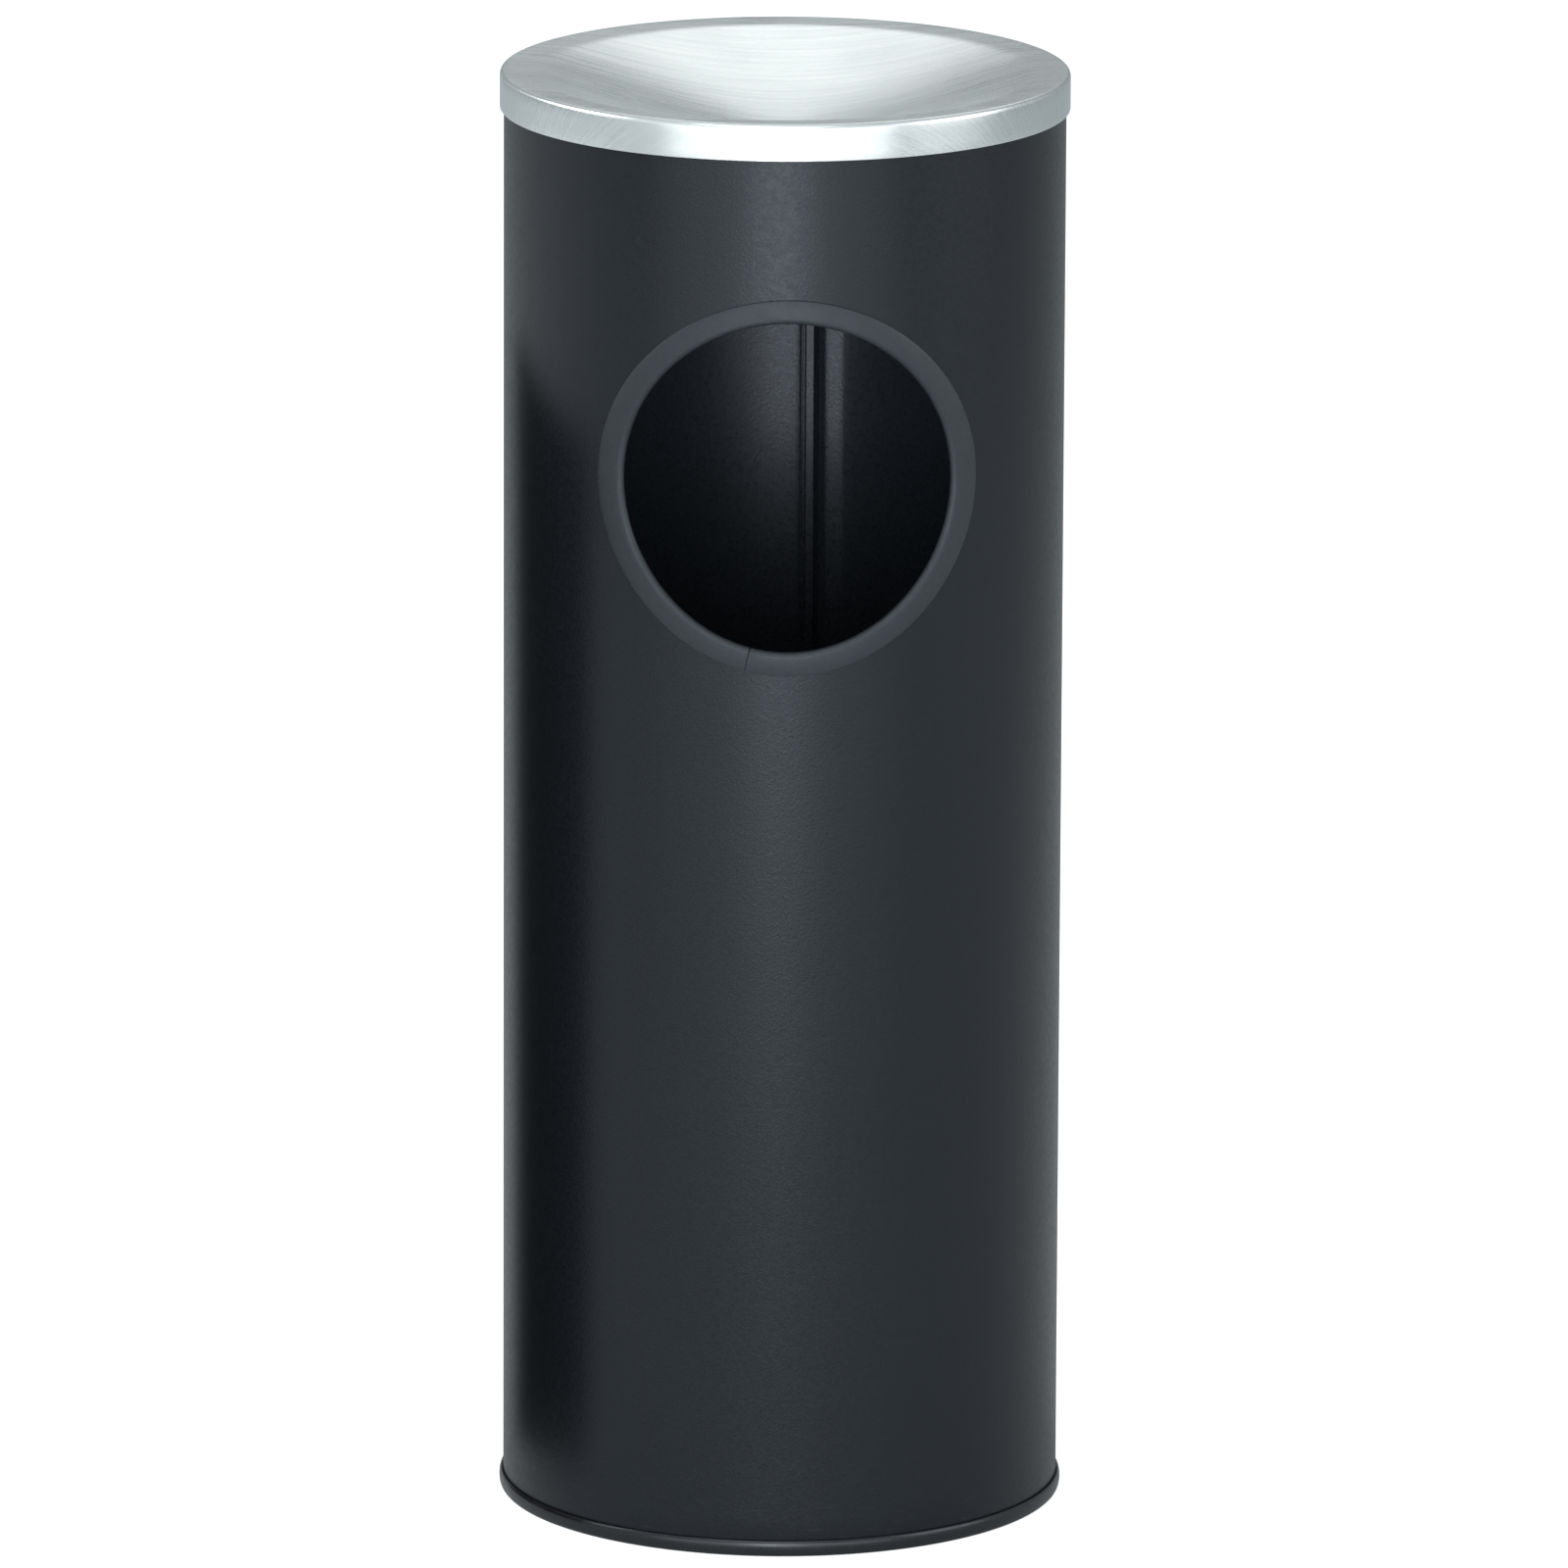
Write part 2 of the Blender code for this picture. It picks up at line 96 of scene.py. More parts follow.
DISH_RIM_WIDTH = 0.0165
DISH_RIM_DROP = 0.001
DISH_DEPTH = 0.028
DISH_CURVE = 1.35
DISH_SHOULDER = 0.0024
DISH_SKIRT_END = TOTAL_HEIGHT - 0.0165
DISH_LIP_ROUND = 0.020

RING_FLOOR = 0.0022
RING_INNER_LIP = 0.0018
RING_INNER_DROP = 0.001
PAN_WELL = 0.088
PAN_WELL_SLOPE = 0.003
PAN_WELL_DROP = 0.002

LINER_SHEET = 0.0008
LINER_CURL = 0.0025
LINER_GROOVE = 0.0008
RIVET_HEAD = 0.003
RIVET_SHANK = 0.0016
RIVET_DOME = 0.0015
RIVET_FLAT = 0.0010
BAIL_WIRE = 0.002
BAIL_RADIUS = 0.1168
BAIL_BEND = 0.003
BAIL_HEAD = 0.003
BAIL_HANG = math.radians(21.0)
EAR_SHEET = 0.0012
BAIL_HEAD_LENGTH = 0.0030


# ---------------------------------------------------------------- mesh helpers
def finish_mesh(name, mesh, materials, sharp=32.0):
    """An object of this mesh, smooth where it turns gently."""
    for material in materials:
        mesh.materials.append(material)
    mesh.shade_smooth()
    mesh.set_sharp_from_angle(angle=math.radians(sharp))
    obj = bpy.data.objects.new(name, mesh)
    bpy.context.scene.collection.objects.link(obj)
    return obj


def place(obj, body, slot, *nodes):
    """The piece rides on its body and stands for these CAD nodes; slot is not used."""
    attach(obj, body)
    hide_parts(*nodes)
    return obj


def arc(centre, radius, start, end, count):
    """Points of a circular arc from start to end, in degrees."""
    points = []
    for i in range(count + 1):
        angle = math.radians(start + (end - start) * i / count)
        points.append((centre[0] + radius * math.cos(angle), centre[1] + radius * math.sin(angle)))
    return points


def rounded(corners, closed=True, count=5):
    """Corners (x, y, fillet radius) as a line with each corner rounded by an arc."""
    points = []
    total = len(corners)
    for i, (x, y, radius) in enumerate(corners):
        here = Vector((x, y))
        if radius <= 0.0 or (not closed and i in (0, total - 1)):
            points.append((x, y))
            continue
        back = Vector(corners[i - 1][:2]) - here
        ahead = Vector(corners[(i + 1) % total][:2]) - here
        half = back.angle(ahead) / 2.0
        reach = min(radius / math.tan(half), back.length * 0.49, ahead.length * 0.49)
        start = here + back.normalized() * reach
        end = here + ahead.normalized() * reach
        for step in range(count + 1):
            t = step / count
            point = start * (1.0 - t) ** 2 + here * 2.0 * t * (1.0 - t) + end * t * t
            points.append((point.x, point.y))
    return points


def subdivided(points, longest, closed=True):
    """The same line with no stretch longer than the given length."""
    fine = []
    pairs = list(zip(points, points[1:] + points[:1] if closed else points[1:]))
    for (x0, y0), (x1, y1) in pairs:
        count = max(1, math.ceil(math.hypot(x1 - x0, y1 - y0) / longest))
        fine += [(x0 + (x1 - x0) * i / count, y0 + (y1 - y0) * i / count) for i in range(count)]
    if not closed:
        fine.append(points[-1])
    return fine


def even_angles(count):
    """This many equal steps round the full circle."""
    return [2.0 * math.pi * i / count for i in range(count)]


def turned_mesh(name, profile, angles, closed=True, shape=None):
    """A closed mesh: the (r, z) profile turned about Z, outer side running down. shape moves a point."""
    bm = bmesh.new()
    rings = []
    for r, z in profile:
        if r < 1e-7:
            rings.append([bm.verts.new((0.0, 0.0, z))] * len(angles))
            continue
        ring = []
        for angle in angles:
            radius = r if shape is None else shape(r, z, angle)
            ring.append(bm.verts.new((radius * math.cos(angle), radius * math.sin(angle), z)))
        rings.append(ring)
    pairs = list(zip(rings, rings[1:]))
    if closed:
        pairs.append((rings[-1], rings[0]))
    count = len(angles)
    for upper, lower in pairs:
        for i in range(count):
            j = (i + 1) % count
            corners = [upper[j], upper[i], lower[i], lower[j]]
            unique = [v for k, v in enumerate(corners) if v not in corners[:k]]
            if len(unique) > 2:
                bm.faces.new(unique)
    bmesh.ops.recalc_face_normals(bm, faces=bm.faces)
    mesh = bpy.data.meshes.new(name)
    bm.to_mesh(mesh)
    bm.free()
    return mesh


def applied(obj):
    """Swap an object's mesh for its evaluated one and drop the modifiers."""
    depsgraph = bpy.context.evaluated_depsgraph_get()
    mesh = bpy.data.meshes.new_from_object(obj.evaluated_get(depsgraph))
    obj.modifiers.clear()
    obj.data = mesh
    return obj


def interpolate(table, x):
    """A smooth step from each pair of the table to the next, zero outside it."""
    if x <= table[0][0] or x >= table[-1][0]:
        return 0.0
    for (x0, y0), (x1, y1) in zip(table, table[1:]):
        if x <= x1:
            t = (x - x0) / (x1 - x0)
            return y0 + (y1 - y0) * t * t * (3.0 - 2.0 * t)
    return 0.0


# ---------------------------------------------------------------- material helpers
class Nodes:
    """A material's node tree, with short calls for the nodes used here."""

    def __init__(self, name):
        self.material = bpy.data.materials.new(name)
        self.material.use_nodes = True
        self.tree = self.material.node_tree
        self.shader = self.tree.nodes["Principled BSDF"]
        self.coords = self.tree.nodes.new("ShaderNodeTexCoord").outputs["Object"]

    def link(self, value, socket):
        if isinstance(value, bpy.types.NodeSocket):
            self.tree.links.new(value, socket)
        else:
            socket.default_value = value

    def math(self, operation, a, b=0.0, clamp=False):
        node = self.tree.nodes.new("ShaderNodeMath")
        node.operation = operation
        node.use_clamp = clamp
        self.link(a, node.inputs[0])
        self.link(b, node.inputs[1])
        return node.outputs[0]

    def vector(self, operation, a, b=(0.0, 0.0, 0.0)):
        node = self.tree.nodes.new("ShaderNodeVectorMath")
        node.operation = operation
        self.link(a, node.inputs[0])
        self.link(b, node.inputs[1])
        return node.outputs[0]

    def separate(self, vector):
        node = self.tree.nodes.new("ShaderNodeSeparateXYZ")
        self.link(vector, node.inputs[0])
        return node.outputs

    def combine(self, x, y, z):
        node = self.tree.nodes.new("ShaderNodeCombineXYZ")
        for value, socket in zip((x, y, z), node.inputs):
            self.link(value, socket)
        return node.outputs[0]

    def noise(self, scale, detail=3.0, rough=0.55, vector=None, stretch=None):
        node = self.tree.nodes.new("ShaderNodeTexNoise")
        source = self.coords if vector is None else vector
        if stretch is not None:
            source = self.vector("MULTIPLY", source, stretch)
        self.link(source, node.inputs["Vector"])
        node.inputs["Scale"].default_value = scale
        node.inputs["Detail"].default_value = detail
        node.inputs["Roughness"].default_value = rough
        return node.outputs["Fac"]

    def cells(self, scale, vector):
        node = self.tree.nodes.new("ShaderNodeTexVoronoi")
        self.link(vector, node.inputs["Vector"])
        node.inputs["Scale"].default_value = scale
        return node.outputs["Color"]

    def spread(self, value, low, high, to_low=0.0, to_high=1.0):
        """value from low..high mapped to to_low..to_high, clamped."""
        node = self.tree.nodes.new("ShaderNodeMapRange")
        node.interpolation_type = "SMOOTHSTEP"
        self.link(value, node.inputs["Value"])
        limits = {"From Min": low, "From Max": high, "To Min": to_low, "To Max": to_high}
        for socket, number in limits.items():
            node.inputs[socket].default_value = number
        return node.outputs["Result"]

    def mix(self, factor, a, b):
        node = self.tree.nodes.new("ShaderNodeMix")
        node.data_type = "RGBA"
        self.link(factor, node.inputs["Factor"])
        for value, socket in ((a, node.inputs["A"]), (b, node.inputs["B"])):
            self.link((*value, 1.0) if isinstance(value, tuple) else value, socket)
        return node.outputs["Result"]

    def bump(self, height, distance, strength=1.0, normal=None):
        node = self.tree.nodes.new("ShaderNodeBump")
        node.inputs["Strength"].default_value = strength
        node.inputs["Distance"].default_value = distance
        self.link(height, node.inputs["Height"])
        if normal is not None:
            self.link(normal, node.inputs["Normal"])
        return node.outputs["Normal"]

    def set(self, **values):
        for name, value in values.items():
            self.link(value, self.shader.inputs[name.replace("_", " ")])
        return self


# ---------------------------------------------------------------- materials
def charcoal_paint(name, light, dark, roughness, peel):
    """Fine-texture powder coat: orange peel, faint speckle, patchy gloss, scuffs and dust low down."""
    n = Nodes(name)
    z = n.separate(n.coords)[2]
    speckle = n.noise(1500.0, 2.0, 0.6)
    patches = n.noise(9.0, 4.0, 0.6)
    speckle = n.math("MULTIPLY", n.spread(speckle, 0.34, 0.66), 0.7)
    tone = n.math("ADD", speckle, n.math("MULTIPLY", patches, 0.3))
    base = n.mix(tone, dark, light)
    scuff_lines = n.spread(n.noise(1.0, 5.0, 0.7, stretch=(60.0, 60.0, 900.0)), 0.60, 0.74)
    low_down = n.spread(z, 0.012, 0.045, 1.0, 0.0)
    scuffs = n.math("MULTIPLY", n.math("MULTIPLY", scuff_lines, low_down), 0.35)
    base = n.mix(scuffs, base, (0.085, 0.090, 0.095))
    gloss = n.spread(n.noise(420.0, 3.0), 0.3, 0.7, roughness - 0.035, roughness + 0.035)
    gloss = n.math("ADD", gloss, n.math("MULTIPLY", scuffs, 0.35))
    grain = n.noise(780.0, 2.5, 0.5)
    waves = n.noise(26.0, 1.0, 0.4)
    normal = n.bump(grain, peel, 0.55)
    normal = n.bump(waves, 0.00016, 0.35, normal)
    n.set(Base_Color=base, Roughness=gloss, Normal=normal, Metallic=0.0)
    n.shader.inputs["Specular IOR Level"].default_value = 0.43
    n.shader.inputs["Specular Tint"].default_value = (0.82, 0.90, 1.0, 1.0)
    return n.material


def brushed_aluminium():
    """Sheet brushed in straight lines along X before pressing, so the lines bend over onto the skirt."""
    n = Nodes("brushed_aluminium")
    x, y, z = n.separate(n.coords)
    radius = n.math("SQRT", n.math("ADD", n.math("MULTIPLY", x, x), n.math("MULTIPLY", y, y)))
    on_skirt = n.spread(radius, DISH_RADIUS - 0.0024, DISH_RADIUS - 0.0010)
    drop = n.math("MULTIPLY", n.math("SUBTRACT", TOTAL_HEIGHT, z), on_skirt)
    growth = n.math("ADD", n.math("DIVIDE", drop, DISH_RADIUS), 1.0)
    sheet = n.combine(n.math("MULTIPLY", x, growth), n.math("MULTIPLY", y, growth), 0.0)
    fine = n.noise(1.0, 5.0, 0.72, sheet, (16.0, 1500.0, 1.0))
    bands = n.noise(1.0, 4.0, 0.65, sheet, (9.0, 400.0, 1.0))
    clouds = n.noise(14.0, 3.0, 0.5)
    streak = n.math("ADD", n.math("MULTIPLY", fine, 0.6), n.math("MULTIPLY", bands, 0.4))
    faded = n.math("SUBTRACT", 1.0, n.math("MULTIPLY", on_skirt, 0.65))
    streak = n.math("ADD", n.math("MULTIPLY", n.math("SUBTRACT", streak, 0.5), faded), 0.5)
    base = n.mix(n.spread(streak, 0.32, 0.68), (0.71, 0.76, 0.755), (0.95, 0.975, 0.97))
    base = n.mix(n.spread(clouds, 0.45, 0.8, 0.0, 0.12), base, (0.60, 0.63, 0.63))
    rough = n.math("ADD", n.spread(fine, 0.3, 0.7, 0.24, 0.33), n.spread(clouds, 0.3, 0.7, -0.02, 0.03))
    normal = n.bump(streak, 0.000028, 0.6)
    cosine = n.math("DIVIDE", x, n.math("MAXIMUM", radius, 0.001))
    sine = n.math("DIVIDE", y, n.math("MAXIMUM", radius, 0.001))
    over_side = n.combine(n.math("MULTIPLY", n.math("MULTIPLY", sine, cosine), -1.0),
                          n.math("MULTIPLY", cosine, cosine), n.math("MULTIPLY", sine, -1.0))
    blend = n.tree.nodes.new("ShaderNodeMix")
    blend.data_type = "VECTOR"
    n.link(on_skirt, blend.inputs["Factor"])
    n.link((0.0, 1.0, 0.0), blend.inputs[4])
    n.link(over_side, blend.inputs[5])
    n.set(Base_Color=base, Roughness=rough, Normal=normal, Metallic=1.0, Tangent=blend.outputs[1])
    n.shader.inputs["Anisotropic"].default_value = 0.55
    return n.material


def black_vinyl(name, light, dark, roughness):
    """Soft extruded vinyl: even satin skin, faint mottling, a little dust."""
    n = Nodes(name)
    mottle = n.noise(600.0, 3.0, 0.6)
    base = n.mix(n.spread(mottle, 0.32, 0.68), dark, light)
    dust = n.spread(n.noise(2200.0, 2.0, 0.6), 0.66, 0.80, 0.0, 0.10)
    base = n.mix(dust, base, (0.20, 0.20, 0.19))
    rough = n.spread(n.noise(120.0, 3.0), 0.3, 0.7, roughness - 0.04, roughness + 0.05)
    normal = n.bump(n.noise(1500.0, 3.0, 0.6), 0.00003, 0.35)
    n.set(Base_Color=base, Roughness=rough, Normal=normal, Metallic=0.0)
    n.shader.inputs["Specular IOR Level"].default_value = 0.60
    n.shader.inputs["Specular Tint"].default_value = (0.86, 0.93, 1.0, 1.0)
    return n.material


def galvanised_steel():
    """Zinc spangle: crystals of differing brightness and gloss, dulled by a fine bloom."""
    n = Nodes("galvanised_steel")
    warp = n.combine(n.noise(90.0), n.noise(93.0), n.noise(97.0))
    warp = n.vector("MULTIPLY", warp, (0.004, 0.004, 0.004))
    cells = n.cells(130.0, n.vector("ADD", n.coords, warp))
    crystal = n.separate(cells)[0]
    bloom = n.noise(35.0, 5.0, 0.65)
    base = n.mix(crystal, (0.40, 0.42, 0.43), (0.66, 0.68, 0.69))
    base = n.mix(n.spread(bloom, 0.45, 0.75, 0.0, 0.45), base, (0.50, 0.51, 0.51))
    rough = n.math("ADD", n.math("MULTIPLY", crystal, 0.16), n.spread(bloom, 0.3, 0.7, 0.30, 0.42))
    normal = n.bump(n.noise(700.0, 3.0), 0.00003, 0.4)
    n.set(Base_Color=base, Roughness=rough, Normal=normal, Metallic=1.0)
    return n.material


PAINT = charcoal_paint("charcoal_paint", (0.0066, 0.0079, 0.0098), (0.0034, 0.0043, 0.0056), 0.33, 0.00013)
# The inside copy of the paint is several times lighter than the outside paint: painted light that brightens
# the dim interior and the pan.
PAINT_INSIDE_PAINTED_LIGHT = charcoal_paint(
    "charcoal_paint_inside_painted_light", (0.0270, 0.0330, 0.0420), (0.0170, 0.0215, 0.0275), 0.29, 0.00010
)
ALUMINIUM = brushed_aluminium()
TRIM_VINYL = black_vinyl("trim_vinyl", (0.0170, 0.0200, 0.0245), (0.0125, 0.0150, 0.0185), 0.50)
RING_VINYL = black_vinyl("ring_vinyl", (0.0085, 0.0082, 0.0095), (0.0055, 0.0052, 0.0060), 0.25)
ZINC = galvanised_steel()


# ---------------------------------------------------------------- body
def seam_angles():
    """Even steps all round, with close ones across the folded seam."""
    near = []
    for low, high in zip(SEAM_INSIDE, SEAM_INSIDE[1:]):
        count = max(3, math.ceil((high[0] - low[0]) / 0.6))
        near += [low[0] + (high[0] - low[0]) * i / count for i in range(count)]
    near += [x for x, _ in SEAM_OUTSIDE]
    centre = math.pi / 2.0 - SEAM_ANGLE
    fold = sorted({round(centre - s / 1000.0 / BODY_RADIUS, 7) for s in near})
    margin = 0.006
    around = [a for a in even_angles(240) if not fold[0] - margin < a < fold[-1] + margin]
    return sorted(around + fold)


def seam_shape(r, z, angle):
    """Radius of the wall near the lock seam: folded layers inside, a fine closing line outside."""
    along = (math.pi / 2.0 - SEAM_ANGLE - angle) * BODY_RADIUS * 1000.0
    top = SHELL_HIGH.z - 2.0 * BODY_CURL
    fade = min(1.0, max(0.0, (top - z) / SEAM_FADE))
    fade *= min(1.0, max(0.0, (z - PAN_HIGH.z - 0.001) / SEAM_FADE))
    if r < BODY_RADIUS - 0.6 * SHEET and z < top:
        return r - interpolate(SEAM_INSIDE, along) * 0.001 * fade
    if r > BODY_RADIUS - 0.1 * SHEET:
        return r - interpolate(SEAM_OUTSIDE, along) * 0.001
    return r


def hole_cutter():
    """An oval plug across the front wall, where the opening goes."""
    half_width = HOLE_HALF_WIDTH + HOLE_CLEARANCE
    half_height = HOLE_HALF_WIDTH * HOLE_STRETCH + HOLE_CLEARANCE
    bm = bmesh.new()
    bmesh.ops.create_cone(bm, cap_ends=True, segments=160, radius1=1.0, radius2=1.0, depth=BODY_RADIUS)
    mesh = bpy.data.meshes.new("hole_cutter")
    bm.to_mesh(mesh)
    bm.free()
    cutter = bpy.data.objects.new("hole_cutter", mesh)
    bpy.context.scene.collection.objects.link(cutter)
    cutter.matrix_world = (
        Matrix.Translation((0.0, -BODY_RADIUS, HOLE_HEIGHT))
        @ Matrix.Rotation(math.pi / 2.0, 4, "X")
        @ Matrix.Diagonal((half_width, half_height, 1.0, 1.0))
    )
    return cutter


def make_shell():
    """Rolled wall with a curled top edge, the folded seam and the opening cut through."""
    centre = (BODY_RADIUS - BODY_CURL, SHELL_HIGH.z - BODY_CURL)
    inner = BODY_RADIUS - SHEET
    profile = arc(centre, BODY_CURL, 270.0, 0.0, 16)
    profile += rounded([(BODY_RADIUS, centre[1], 0.0), (BODY_RADIUS, SHELL_LOW.z, 0.0003),
                        (inner, SHELL_LOW.z, 0.0003), (inner, centre[1], 0.0)], closed=False, count=2)[1:]
    profile += arc(centre, BODY_CURL - SHEET, 0.0, 270.0, 12)[1:]
    mesh = turned_mesh("shell", subdivided(profile, 0.014), seam_angles(), shape=seam_shape)
    shell = finish_mesh("shell", mesh, (PAINT, PAINT_INSIDE_PAINTED_LIGHT), 40.0)
    # Inner faces take the lightened inside paint: painted light for the dim interior.
    for face in mesh.polygons:
        out = Vector((face.center.x, face.center.y, 0.0)).normalized()
        face.material_index = 1 if face.normal.dot(out) < -0.2 and face.center.z < centre[1] else 0
    cutter = hole_cutter()
    cut = shell.modifiers.new("Opening", "BOOLEAN")
    cut.operation = "DIFFERENCE"
    cut.solver = "EXACT"
    cut.object = cutter
    applied(shell)
    bpy.data.objects.remove(cutter, do_unlink=True)
    place(shell, "body", "charcoal_paint", "body_shell")


def make_pan():
    """Pressed bottom: a shallow well and a flange turned down inside the shell."""
    edge = PAN_HIGH.x
    top, well = PAN_HIGH.z, PAN_HIGH.z - PAN_WELL_DROP
    upper = [(0.0, well, 0.0), (PAN_WELL, well, 0.002),
             (PAN_WELL + PAN_WELL_SLOPE, top, 0.002), (edge, top, 0.002)]
    foot = PAN_LOW.z
    flange = [(edge, foot, 0.0003), (edge - SHEET, foot, 0.0003), (edge - SHEET, top - SHEET, 0.001)]
    lower = [(PAN_WELL + 0.0033, top - SHEET, 0.002), (PAN_WELL + 0.0003, well - SHEET, 0.002)]
    profile = rounded(upper + flange + lower + [(0.0, well - SHEET, 0.0)], closed=False)
    mesh = turned_mesh("pan", profile, even_angles(192), closed=False)
    # The pan takes the lightened inside paint: painted light for the dim interior.
    place(finish_mesh("pan", mesh, (PAINT_INSIDE_PAINTED_LIGHT,)), "body", "charcoal_paint", "bottom_pan")


def make_base_ring():
    """Half-round outer lip over the shell's edge, thin floor under it and a low inner lip."""
    outer, inner = BODY_RADIUS + GAP, BODY_RADIUS - SHEET - GAP
    half = (RING_HIGH.z - RING_LOW.z) / 2.0
    bulge = RING_RADIUS - outer
    profile = [(outer, RING_HIGH.z - 0.0002)]
    for i in range(1, 14):
        turn = math.radians(90.0 - 180.0 * i / 14)
        profile.append((outer + bulge * math.cos(turn) ** 0.75, half + half * math.sin(turn)))
    lip_foot, lip_top = inner - RING_INNER_LIP, RING_HIGH.z - RING_INNER_DROP
    profile += rounded([(outer + 0.0004, 0.0, 0.0), (lip_foot, 0.0, 0.0006),
                        (lip_foot, lip_top, 0.0006), (inner, lip_top, 0.0004),
                        (inner, RING_FLOOR, 0.0002), (outer, RING_FLOOR, 0.0)], closed=False, count=3)
    mesh = turned_mesh("base_edging", profile, even_angles(256))
    place(finish_mesh("base_edging", mesh, (RING_VINYL,)), "body", "black_vinyl", "base_ring")


def on_body(x, out, z):
    """A point of the opening's flat plane, laid on the body and standing off it by out."""
    angle = math.asin(x / BODY_RADIUS)
    radius = BODY_RADIUS + out
    return Vector((radius * math.sin(angle), -radius * math.cos(angle), z + HOLE_HEIGHT))


def make_trim():
    """U-section edging round the opening, its two ends meeting at the lower left."""
    edge = HOLE_HALF_WIDTH
    half = (SHEET + 2.0 * (GAP + TRIM_LIP)) / 2.0
    middle = -SHEET / 2.0
    web, face = edge + TRIM_LIP, edge + TRIM_FACE
    back_edge = face - TRIM_BACK_INSET
    front, back = middle + half, middle - half
    section = arc((edge + half, middle), half, 90.0, 270.0, 14)
    section += rounded([(edge + half, back, 0.0), (back_edge, back, 0.0006),
                        (back_edge, back + TRIM_LIP, 0.0003), (web, back + TRIM_LIP, 0.0004),
                        (web, front - TRIM_LIP, 0.0004), (face, front - TRIM_LIP, 0.0002),
                        (face, front - TRIM_CROWN, 0.0003), (edge + half, front, 0.0)],
                       closed=False, count=4)[1:-1]
    crown_width = face - edge - half
    for i in range(9, 0, -1):
        across = i / 10.0
        section.append((edge + half + crown_width * across, front - TRIM_CROWN * across ** 2))
    joint = TRIM_JOINT_GAP / edge
    start = math.radians(-90.0) - TRIM_JOINT_ANGLE + joint / 2.0
    steps = 288
    bm = bmesh.new()
    rings = []
    for i in range(steps + 1):
        angle = start + (2.0 * math.pi - joint) * i / steps
        from_end = min(i, steps - i) * 2.0 * math.pi / steps * edge
        share = 1.0 if i < steps / 2 else 0.25
        lift = TRIM_END_LIFT * math.exp(-((from_end / TRIM_END_REACH) ** 2)) * share
        ring = []
        for r, out in section:
            grip = -lift if out < middle else lift
            radius = r + (0.0 if out > middle else lift * 0.5)
            x, z = radius * math.cos(angle), radius * math.sin(angle) * HOLE_STRETCH
            ring.append(bm.verts.new(on_body(x, out + grip * 0.8, z)))
        rings.append(ring)
    count = len(section)
    for low, high in zip(rings, rings[1:]):
        for k in range(count):
            m = (k + 1) % count
            bm.faces.new((low[k], low[m], high[m], high[k]))
    for ring in (rings[0], rings[-1]):
        bm.faces.new(ring)
    bmesh.ops.recalc_face_normals(bm, faces=bm.faces)
    mesh = bpy.data.meshes.new("opening_trim")
    bm.to_mesh(mesh)
    bm.free()
    place(finish_mesh("opening_trim", mesh, (TRIM_VINYL,), 40.0), "body", "black_vinyl", "aperture_trim")


# ---------------------------------------------------------------- dish
def make_dish():
    """Shallow pressed bowl, soft lip, flat rim, tight shoulder, skirt."""
    lip, lip_height = DISH_RADIUS - DISH_RIM_WIDTH, TOTAL_HEIGHT - DISH_RIM_DROP
    skirt_end = DISH_SKIRT_END

    def bowl(radius):
        return lip_height - DISH_DEPTH * (1.0 - (radius / lip) ** DISH_CURVE)

    radii = [lip * i / 40 for i in range(38)]
    upper = [(radius, bowl(radius), 0.0) for radius in radii]
    upper += [(lip, lip_height, DISH_LIP_ROUND), (DISH_RADIUS, TOTAL_HEIGHT + 0.00005, DISH_SHOULDER)]
    upper += [(DISH_RADIUS, skirt_end, 0.00035), (DISH_RADIUS - SHEET, skirt_end, 0.00035)]
    lower = [(DISH_RADIUS - SHEET, TOTAL_HEIGHT - SHEET, 0.0014), (lip, lip_height - SHEET, DISH_LIP_ROUND)]
    lower += [(radius, bowl(radius) - SHEET, 0.0) for radius in reversed(radii)]
    profile = rounded(upper + lower, closed=False, count=6)
    mesh = turned_mesh("dish", subdivided(profile, 0.004, closed=False), even_angles(288), closed=False)
    place(finish_mesh("dish", mesh, (ALUMINIUM,)), "dish", "satin_aluminium", "ash_dish")


